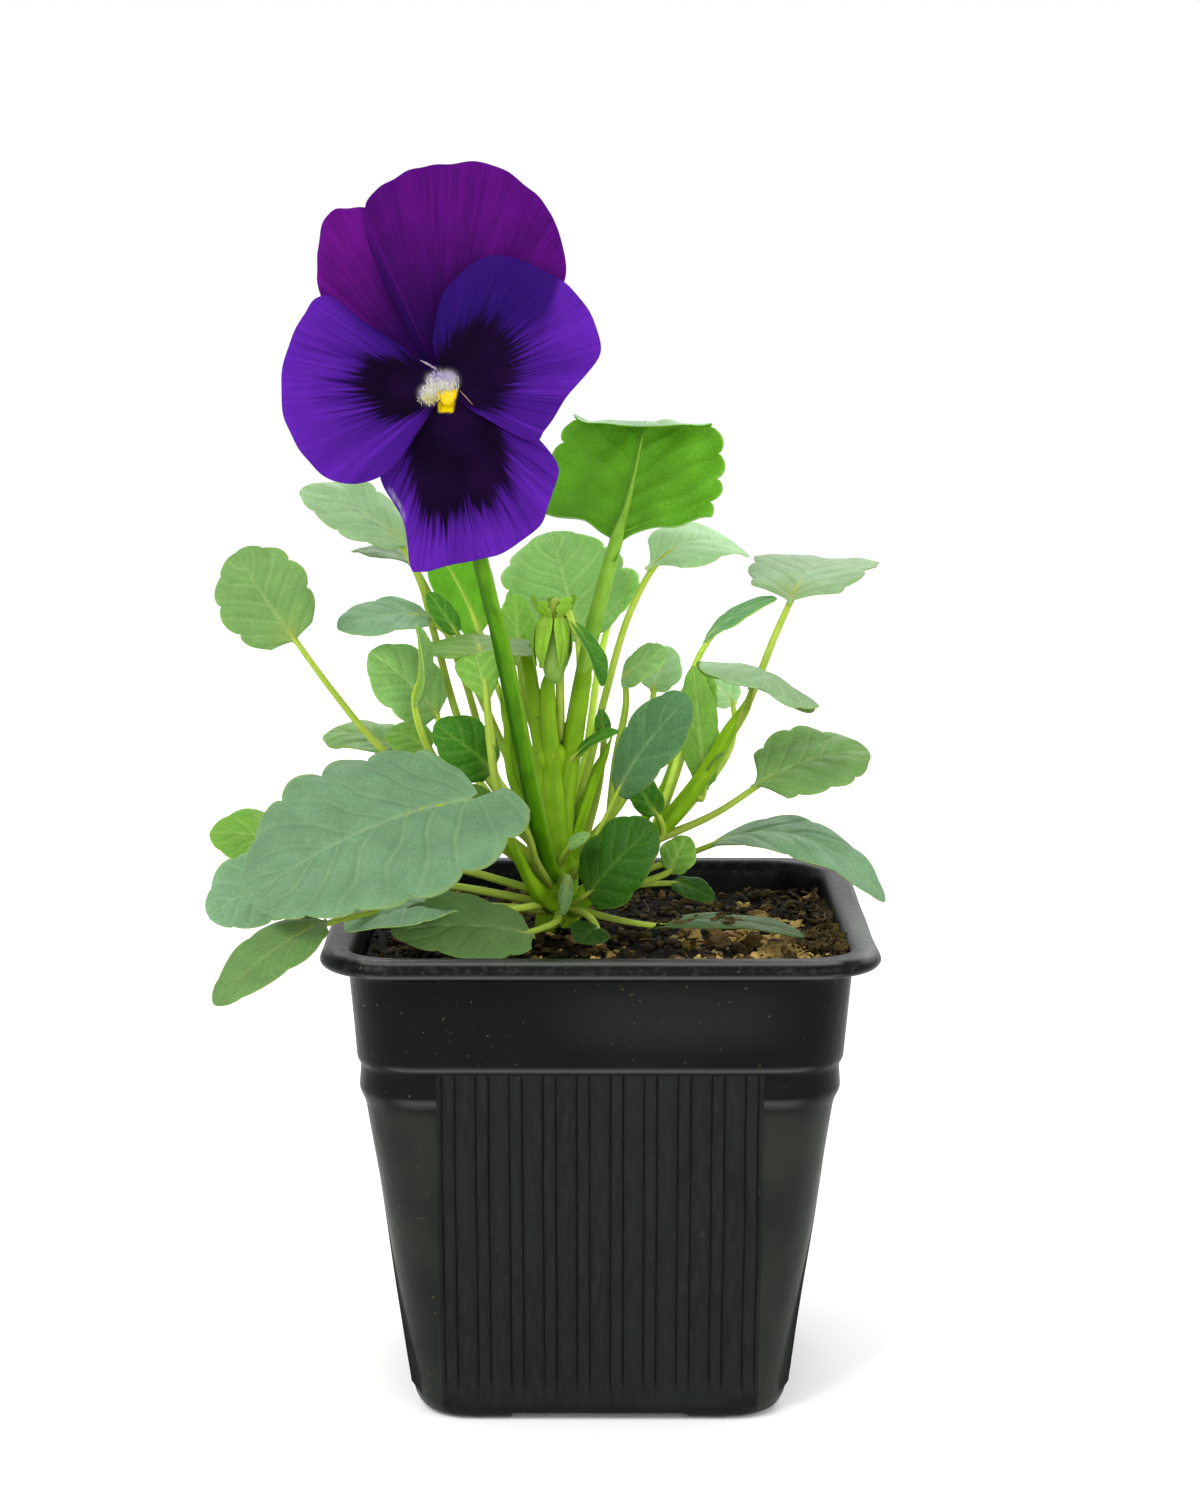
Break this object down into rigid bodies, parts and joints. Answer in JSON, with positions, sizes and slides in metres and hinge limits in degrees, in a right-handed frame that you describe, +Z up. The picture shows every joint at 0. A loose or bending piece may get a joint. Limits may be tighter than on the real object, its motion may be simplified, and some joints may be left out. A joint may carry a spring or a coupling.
{
  "type": "potted pansy planter",
  "caption": "Square black nursery pot of peat soil holding a leafy pansy plant with one large violet and magenta bloom on a tall stalk and a nodding bud",
  "frame": {"origin": "middle of the pot's underside, on the surface that the pot stands on", "axes": "+Z up; -Y is the side that the bloom faces; +X to the right seen from that side"},
  "size_m": [0.1305, 0.1053, 0.2313],
  "materials": {
    "pot_plastic": "thin black moulded plastic, satin",
    "peat_soil": "rough moist peat with bark and grit",
    "stem": "pale green, smooth, slightly translucent",
    "flower_stalk": "dark green, ribbed, satin",
    "flower_eye": "bright yellow, velvety",
    "petal_magenta": "velvety magenta purple",
    "petal_violet": "velvety violet with a near-black blotch",
    "bud": "pale green, smooth",
    "leaf_grey_green": "matt grey green with a waxy bloom",
    "leaf_dark_green": "dark green, satin",
    "leaf_bright_green": "bright yellow green underside, satin"
  },
  "bodies": {
    "root": {"pot": "pot_plastic", "soil": "peat_soil", "main_stem": "stem", "flower_stalk": "flower_stalk", "flower_eye": "flower_eye", "petal_upper_left": "petal_magenta", "petal_upper_right": "petal_magenta", "petal_lower": "petal_violet", "petal_side_left": "petal_violet", "petal_side_right": "petal_violet", "bud": "bud", "leaf_front_left_large": "leaf_grey_green", "leaf_left_round": "leaf_grey_green", "leaf_upper_left": "leaf_grey_green", "leaf_upper_left_narrow": "leaf_grey_green", "leaf_left_oval": "leaf_grey_green", "leaf_left_folded": "leaf_bright_green", "leaf_left_middle": "leaf_grey_green", "leaf_level_strap": "leaf_grey_green", "leaf_left_dark": "leaf_dark_green", "leaf_left_rear": "leaf_grey_green", "leaf_left_rear_small": "leaf_bright_green", "leaf_low_left": "leaf_bright_green", "leaf_low_left_front": "leaf_grey_green", "leaf_hanging_left": "leaf_grey_green", "leaf_under_large": "leaf_grey_green", "leaf_front_on_soil": "leaf_dark_green", "leaf_right_on_soil": "leaf_grey_green", "leaf_small_round": "leaf_dark_green", "leaf_dark_round": "leaf_dark_green", "leaf_blue_oval": "leaf_dark_green", "leaf_tall": "leaf_bright_green", "leaf_behind_centre": "leaf_grey_green", "leaf_behind_small": "leaf_grey_green", "leaf_centre_upright": "leaf_grey_green", "leaf_behind_bloom": "leaf_bright_green", "leaf_upper_right_arched": "leaf_grey_green", "leaf_far_right": "leaf_grey_green", "leaf_right_middle": "leaf_grey_green", "leaf_right_large": "leaf_grey_green", "leaf_right_over_rim": "leaf_grey_green", "leaf_right_thin": "leaf_dark_green", "leaf_right_pale": "leaf_bright_green", "leaf_right_inner": "leaf_grey_green", "leaf_right_wing": "leaf_bright_green", "leaf_right_soil_small": "leaf_dark_green", "leaf_right_curled": "leaf_bright_green"}
  },
  "joints": []
}
